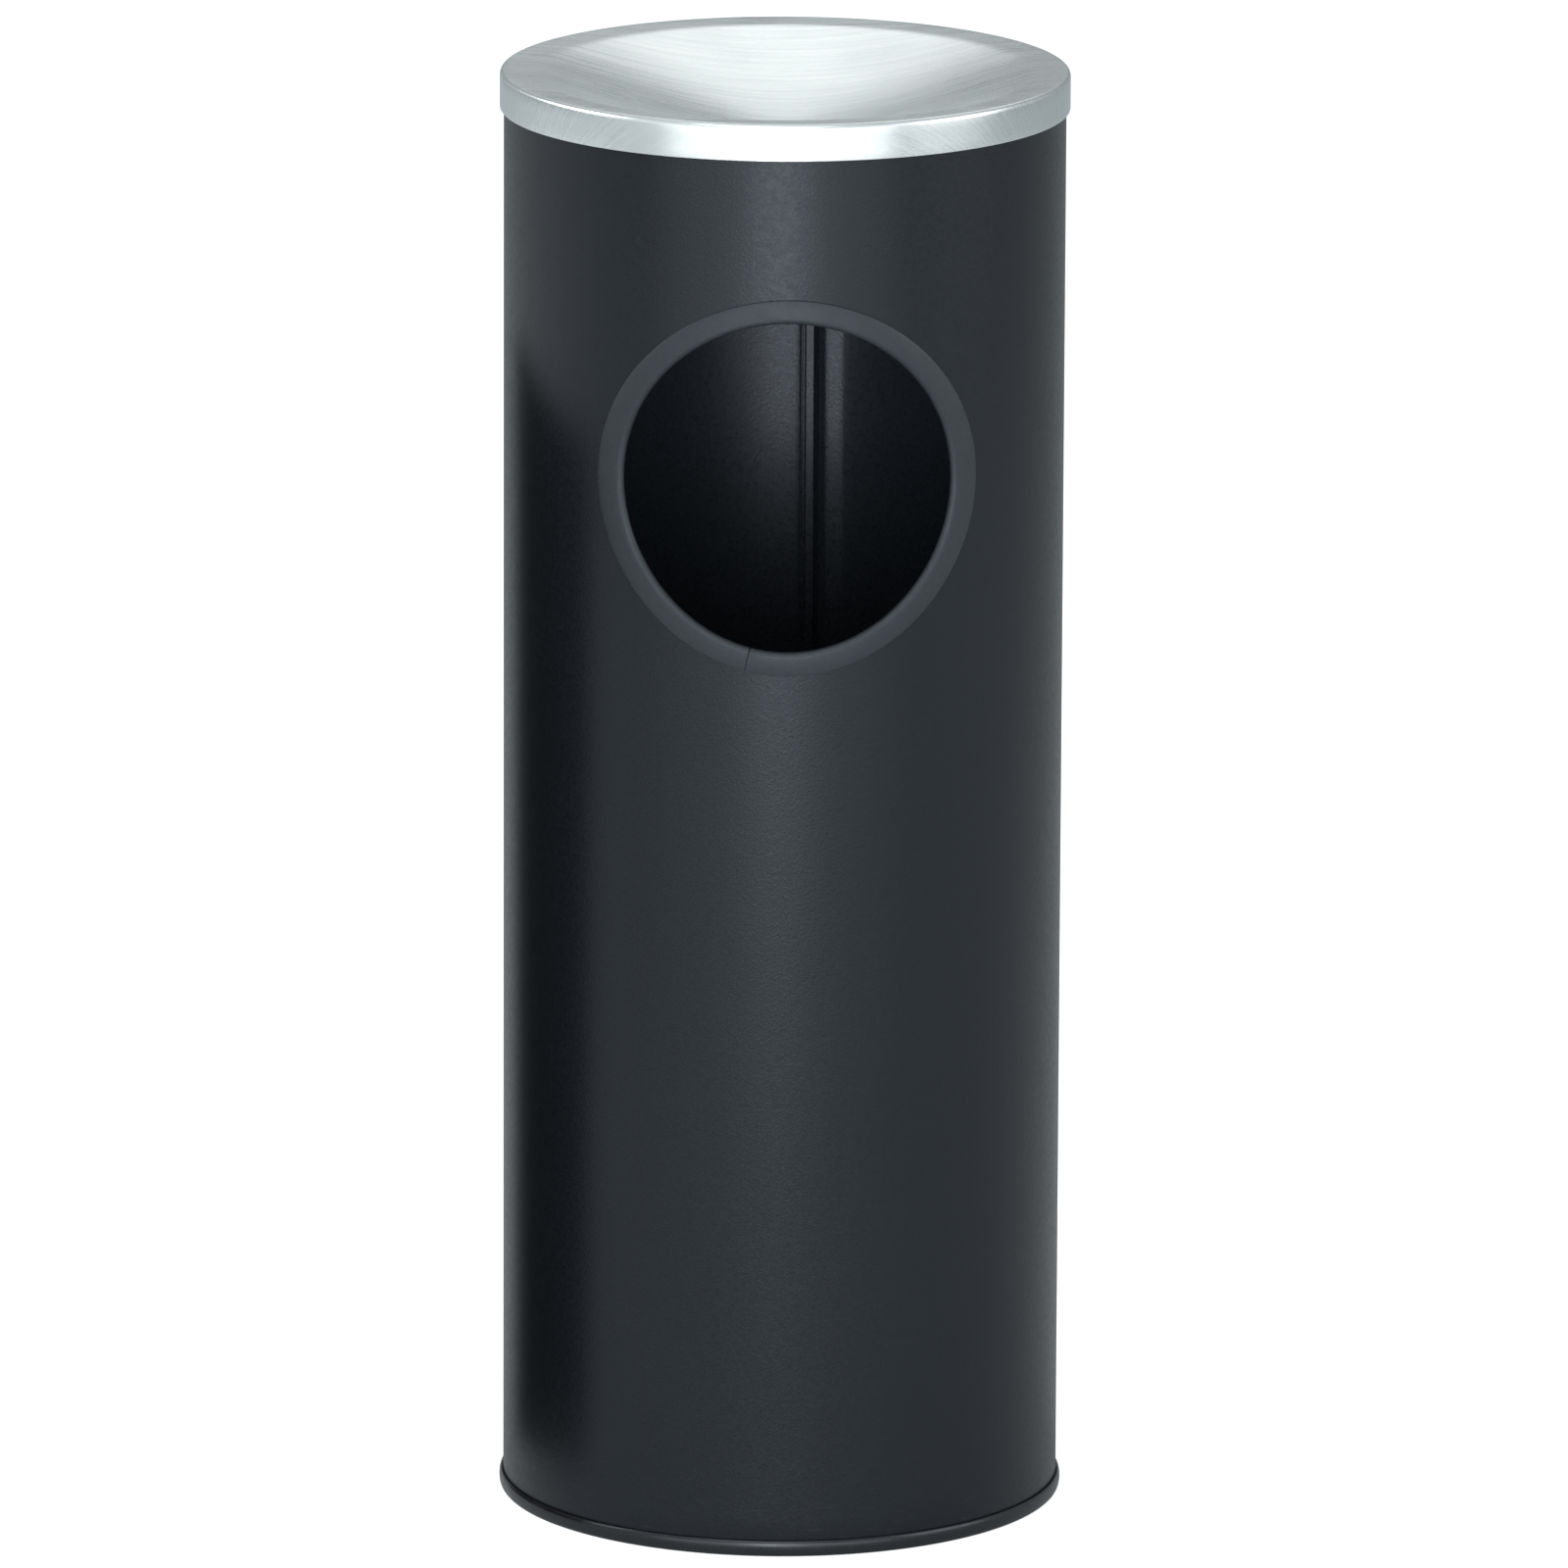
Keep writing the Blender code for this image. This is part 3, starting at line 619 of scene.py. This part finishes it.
# ---------------------------------------------------------------- liner
def make_liner():
    """Tapered wall rolled outwards over a wire, and a pressed floor with a ring groove."""
    foot = FLOOR_HIGH.x + GAP + LINER_SHEET
    top = LINER_HIGH.x - 2.0 * LINER_CURL + LINER_SHEET
    centre = (top - LINER_SHEET + LINER_CURL, LINER_HIGH.z - LINER_CURL)
    profile = arc(centre, LINER_CURL, 180.0, -90.0, 18)
    profile += arc(centre, LINER_CURL - LINER_SHEET, -90.0, 180.0, 14)
    profile += rounded([(top, centre[1], 0.0), (foot, LINER_LOW.z, 0.0003),
                        (foot - LINER_SHEET, LINER_LOW.z, 0.0003), (top - LINER_SHEET, centre[1], 0.0)],
                       closed=False, count=2)[1:-1]
    mesh = turned_mesh("liner_wall", subdivided(profile, 0.02), even_angles(192))
    place(finish_mesh("liner_wall", mesh, (ZINC,)), "liner", "galvanised_steel", "liner_shell")

    edge, high, low = FLOOR_HIGH.x, FLOOR_HIGH.z, FLOOR_LOW.z
    groove = high - LINER_GROOVE
    under = high - LINER_SHEET
    upper = [(0.0, high, 0.0), (edge - 0.016, high, 0.001), (edge - 0.014, groove, 0.001),
             (edge - 0.009, groove, 0.001), (edge - 0.007, high, 0.001), (edge, high, 0.0018)]
    flange = [(edge, low, 0.0003), (edge - LINER_SHEET, low, 0.0003), (edge - LINER_SHEET, under, 0.001)]
    lower = [(edge - 0.0067, under, 0.001), (edge - 0.0088, groove - LINER_SHEET, 0.001),
             (edge - 0.0142, groove - LINER_SHEET, 0.001), (edge - 0.0163, under, 0.001), (0.0, under, 0.0)]
    profile = rounded(upper + flange + lower, closed=False)
    mesh = turned_mesh("liner_floor", profile, even_angles(192), closed=False)
    place(finish_mesh("liner_floor", mesh, (ZINC,)), "liner", "galvanised_steel", "liner_bottom")

    wire = (WIRE_HIGH.z - WIRE_LOW.z) / 2.0
    mesh = turned_mesh("rim_wire", arc(centre, wire, 90.0, -270.0, 16)[:-1], even_angles(192))
    place(finish_mesh("rim_wire", mesh, (ZINC,)), "liner", "galvanised_steel", "liner_rim_wire")


def make_ears():
    """The pressed ears keep their frame shape."""
    for name in ("liner_ear_left", "liner_ear_right"):
        ear = frame["nodes"][name]
        for slot in ear.material_slots:
            slot.link = "OBJECT"
            slot.material = ZINC


def make_rivets():
    """Domed heads outside, flat heads inside, one turned rivet in each ear hole."""
    for number in range(1, 5):
        node = f"liner_rivet_{number}"
        low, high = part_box(node)
        middle = (low + high) / 2.0
        out = Vector((middle.x, middle.y, 0.0)).normalized()
        along = [vertex.co.dot(out) for vertex in frame["nodes"][node].data.vertices]
        nearest, farthest = min(along), max(along)
        under_dome = farthest - RIVET_DOME
        under_head = nearest + RIVET_FLAT
        profile = []
        for degrees in range(90, -1, -9):
            turn = math.radians(degrees)
            profile.append((RIVET_HEAD * math.cos(turn), under_dome + RIVET_DOME * math.sin(turn)))
        profile[0] = (0.0, farthest)
        profile += rounded([(RIVET_HEAD, under_dome, 0.0), (RIVET_SHANK, under_dome, 0.0),
                            (RIVET_SHANK, under_head, 0.0), (RIVET_HEAD, under_head, 0.0002),
                            (RIVET_HEAD - 0.0004, nearest, 0.0003), (0.0, nearest, 0.0)],
                           closed=False, count=3)[1:]
        mesh = turned_mesh(f"rivet_{number}", profile, even_angles(32), closed=False)
        turn = Matrix.Rotation(math.atan2(out.y, out.x), 4, "Z") @ Matrix.Rotation(math.pi / 2.0, 4, "Y")
        mesh.transform(Matrix.Translation((0.0, 0.0, middle.z)) @ turn)
        place(finish_mesh(f"rivet_{number}", mesh, (ZINC,)), "liner", "galvanised_steel", node)


def make_bail():
    """Round wire bow; its ends turn in through the ears and carry upset heads."""
    bridge = EAR_HIGH.x - EAR_SHEET
    shoulder = bridge - 0.0008
    swell = BAIL_HEAD / BAIL_WIRE
    half = [(bridge - BAIL_HEAD_LENGTH, 0.0), (shoulder - 0.0002, 0.0), (shoulder, 0.0)]
    half += arc((BAIL_RADIUS - BAIL_BEND, BAIL_BEND), BAIL_BEND, -90.0, 0.0, 8)
    sweep = math.asin(BAIL_BEND / BAIL_RADIUS)
    bow = arc((0.0, 0.0), BAIL_RADIUS, math.degrees(sweep), 180.0 - math.degrees(sweep), 96)[1:-1]
    points = half + bow + [(-x, y) for x, y in reversed(half)]
    radii = [swell, swell] + [1.0] * (len(half) - 2 + len(bow) + len(half) - 2) + [swell, swell]
    curve = bpy.data.curves.new("bail_wire", "CURVE")
    curve.dimensions = "3D"
    curve.bevel_depth = BAIL_WIRE
    curve.bevel_resolution = 6
    curve.use_fill_caps = True
    spline = curve.splines.new("POLY")
    spline.points.add(len(points) - 1)
    for point, (x, y), radius in zip(spline.points, points, radii):
        point.co = (x, y, 0.0, 1.0)
        point.radius = radius
    wire = bpy.data.objects.new("bail_wire", curve)
    bpy.context.scene.collection.objects.link(wire)
    depsgraph = bpy.context.evaluated_depsgraph_get()
    mesh = bpy.data.meshes.new_from_object(wire.evaluated_get(depsgraph))
    bpy.data.objects.remove(wire, do_unlink=True)
    bm = bmesh.new()
    bm.from_mesh(mesh)
    bmesh.ops.remove_doubles(bm, verts=bm.verts, dist=0.000001)
    bm.to_mesh(mesh)
    bm.free()
    mesh.transform(Matrix.Translation((0.0, 0.0, PIVOT_HEIGHT)) @ Matrix.Rotation(-BAIL_HANG, 4, "X"))
    place(finish_mesh("bail", mesh, (ZINC,), 50.0), "bail", "galvanised_steel", "liner_bail")


# ---------------------------------------------------------------- studio
CAMERA_DISTANCE = 7.4
CAMERA_HEIGHT = 2.093
AIM_HEIGHT = 0.3238
CAMERA_SIDE = 0.00077
CAMERA_ROLL = 0.0043
CAMERA_LENS = 389.6
VIEW_TURN = Matrix.Rotation(math.radians(-0.9), 4, "Z")


def make_camera():
    """A long lens looking down a little, from slightly left of straight on."""
    data = bpy.data.cameras.new("camera")
    data.sensor_width = 36.0
    data.lens = CAMERA_LENS
    data.clip_start = 0.1
    data.clip_end = 60.0
    camera = bpy.data.objects.new("camera", data)
    bpy.context.scene.collection.objects.link(camera)
    pitch = math.atan2(CAMERA_HEIGHT - AIM_HEIGHT, CAMERA_DISTANCE)
    camera.matrix_world = (
        VIEW_TURN
        @ Matrix.Translation((CAMERA_SIDE, -CAMERA_DISTANCE, CAMERA_HEIGHT))
        @ Matrix.Rotation(math.pi / 2.0 - pitch, 4, "X")
        @ Matrix.Rotation(CAMERA_ROLL, 4, "Z")
    )
    bpy.context.scene.camera = camera


def area_light(name, place_at, aim_at, size, radiance, colour=(1.0, 1.0, 1.0)):
    """A soft box of this brightness, seen in reflections but not by the camera."""
    data = bpy.data.lights.new(name, "AREA")
    data.shape = "RECTANGLE"
    data.size, data.size_y = size
    data.energy = radiance * math.pi * size[0] * size[1]
    data.color = colour
    light = bpy.data.objects.new(name, data)
    bpy.context.scene.collection.objects.link(light)
    aim = (Vector(aim_at) - Vector(place_at)).to_track_quat("-Z", "Y").to_matrix().to_4x4()
    light.matrix_world = VIEW_TURN @ Matrix.Translation(place_at) @ aim
    light.visible_camera = False
    return light


def flat_panel(name, corners, colour):
    """A matt four-cornered stage panel."""
    bm = bmesh.new()
    bm.faces.new([bm.verts.new(VIEW_TURN @ Vector(corner)) for corner in corners])
    mesh = bpy.data.meshes.new(name)
    bm.to_mesh(mesh)
    bm.free()
    panel = bpy.data.objects.new(name, mesh)
    bpy.context.scene.collection.objects.link(panel)
    material = bpy.data.materials.new(name)
    material.use_nodes = True
    shader = material.node_tree.nodes["Principled BSDF"]
    shader.inputs["Base Color"].default_value = (*colour, 1.0)
    shader.inputs["Roughness"].default_value = 1.0
    shader.inputs["Specular IOR Level"].default_value = 0.0
    panel.data.materials.append(material)
    return panel


def make_floor():
    """Pale sweep; a little extra white for the camera keeps the background paper-white."""
    size = 14.0
    corners = [(-size, -size, -GAP), (size, -size, -GAP), (size, size, -GAP), (-size, size, -GAP)]
    floor = flat_panel("floor", corners, (0.62, 0.64, 0.65))
    tree = floor.data.materials[0].node_tree
    shader = tree.nodes["Principled BSDF"]
    path = tree.nodes.new("ShaderNodeLightPath")
    shader.inputs["Emission Color"].default_value = (1.0, 1.0, 1.0, 1.0)
    glow = tree.nodes.new("ShaderNodeMath")
    glow.operation = "MULTIPLY"
    glow.inputs[1].default_value = 0.75
    tree.links.new(path.outputs["Is Camera Ray"], glow.inputs[0])
    tree.links.new(glow.outputs[0], shader.inputs["Emission Strength"])


def make_world():
    """Even cool white light, weaker from behind the bin than from in front."""
    world = bpy.data.worlds.new("studio")
    bpy.context.scene.world = world
    world.use_nodes = True
    tree = world.node_tree
    background = tree.nodes["Background"]
    background.inputs["Color"].default_value = (0.90, 0.97, 1.0, 1.0)
    direction = tree.nodes.new("ShaderNodeTexCoord")
    split = tree.nodes.new("ShaderNodeSeparateXYZ")
    tree.links.new(direction.outputs["Generated"], split.inputs[0])
    depth = tree.nodes.new("ShaderNodeMapRange")
    for socket, number in zip(("From Min", "From Max", "To Min", "To Max"), (-1.0, 1.0, 0.80, 0.29)):
        depth.inputs[socket].default_value = number
    tree.links.new(split.outputs["Y"], depth.inputs["Value"])
    tree.links.new(depth.outputs["Result"], background.inputs["Strength"])


def make_studio():
    """Soft boxes in front, at the sides and high behind, with a dark card close to the left."""
    make_world()
    make_floor()
    area_light("front_strip", (-0.08, -2.1, 0.46), (-0.06, 0.0, 0.46), (0.75, 0.9), 3.6)
    area_light("front_wide", (-0.15, -2.3, 0.45), (-0.1, 0.0, 0.45), (4.8, 0.9), 1.35)
    area_light("front_pool", (-0.35, -1.5, 2.3), (-0.15, -0.9, 0.0), (1.6, 1.6), 1.4)
    area_light("side_right", (2.2, -0.7, 1.2), (0.0, -0.1, 0.4), (1.6, 1.6), 1.7)
    area_light("side_left", (-2.4, 0.2, 1.6), (-1.2, 0.6, 0.0), (1.4, 1.4), 4.2)
    area_light("back_high", (0.12, 1.57, 2.27), (0.0, 0.0, 0.65), (1.65, 1.10), 0.93)
    card = flat_panel("dark_card", [(-0.205, -0.100, 0.0), (-0.190, 0.055, 0.0),
                                    (-0.190, 0.055, 0.517), (-0.205, -0.100, 0.470)], (0.008, 0.008, 0.009))
    card.visible_camera = False
    card.visible_diffuse = False
    card.visible_shadow = False


make_camera()
make_shell()
make_pan()
make_base_ring()
make_trim()
make_dish()
make_liner()
make_ears()
make_rivets()
make_bail()
make_studio()
bpy.context.scene.view_settings.view_transform = "Standard"
